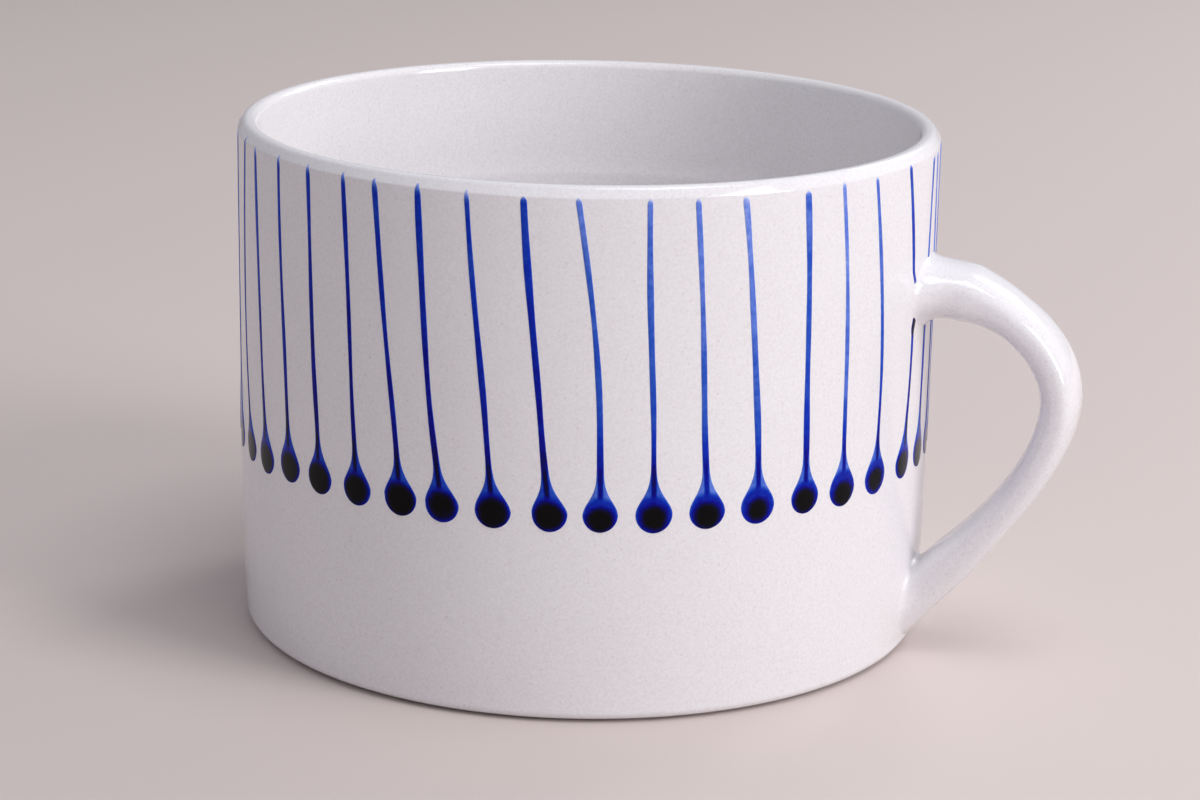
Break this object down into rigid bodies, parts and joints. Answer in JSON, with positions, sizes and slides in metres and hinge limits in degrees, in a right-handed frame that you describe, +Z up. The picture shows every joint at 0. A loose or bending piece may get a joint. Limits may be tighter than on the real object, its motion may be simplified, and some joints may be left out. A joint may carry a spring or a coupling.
{
  "type": "stoneware mug",
  "caption": "Wide straight-sided glazed stoneware mug with a pulled strap handle and a ring of trailed cobalt drops with thin tails up to the lip",
  "frame": {"origin": "on the cup's axis, on the plane that the foot ring stands on", "axes": "+Z up the cup's axis, +X from the axis through the middle of the handle, +Y to complete a right-handed frame"},
  "size_m": [0.1286, 0.1052, 0.077],
  "materials": {
    "clay": "bare stoneware clay fired to a pale buff, matt and slightly gritty",
    "slip": "fired slip, smooth and matt",
    "clear_glaze": "glossy off-white glaze with very fine buff specks",
    "cobalt_glaze": "glossy cobalt blue glaze, almost black where it pools in the drops"
  },
  "bodies": {
    "root": {"body": "clay", "handle": "clay", "upper_slip_joint": "slip", "lower_slip_joint": "slip", "glaze_inside": "clear_glaze", "glaze_outside": "clear_glaze", "glaze_base": "clear_glaze", "glaze_handle": "clear_glaze", "stroke_01": "cobalt_glaze", "stroke_02": "cobalt_glaze", "stroke_03": "cobalt_glaze", "stroke_04": "cobalt_glaze", "stroke_05": "cobalt_glaze", "stroke_06": "cobalt_glaze", "stroke_07": "cobalt_glaze", "stroke_08": "cobalt_glaze", "stroke_09": "cobalt_glaze", "stroke_10": "cobalt_glaze", "stroke_11": "cobalt_glaze", "stroke_12": "cobalt_glaze", "stroke_13": "cobalt_glaze", "stroke_14": "cobalt_glaze", "stroke_15": "cobalt_glaze", "stroke_16": "cobalt_glaze", "stroke_17": "cobalt_glaze", "stroke_18": "cobalt_glaze", "stroke_19": "cobalt_glaze", "stroke_20": "cobalt_glaze", "stroke_21": "cobalt_glaze", "stroke_22": "cobalt_glaze", "stroke_23": "cobalt_glaze", "stroke_24": "cobalt_glaze", "stroke_25": "cobalt_glaze", "stroke_26": "cobalt_glaze", "stroke_27": "cobalt_glaze", "stroke_28": "cobalt_glaze", "stroke_29": "cobalt_glaze", "stroke_30": "cobalt_glaze", "stroke_31": "cobalt_glaze", "stroke_32": "cobalt_glaze", "stroke_33": "cobalt_glaze", "stroke_34": "cobalt_glaze", "stroke_35": "cobalt_glaze", "stroke_36": "cobalt_glaze", "stroke_37": "cobalt_glaze", "stroke_38": "cobalt_glaze", "stroke_39": "cobalt_glaze", "stroke_40": "cobalt_glaze", "stroke_41": "cobalt_glaze", "stroke_42": "cobalt_glaze", "stroke_43": "cobalt_glaze", "stroke_44": "cobalt_glaze"}
  },
  "joints": []
}
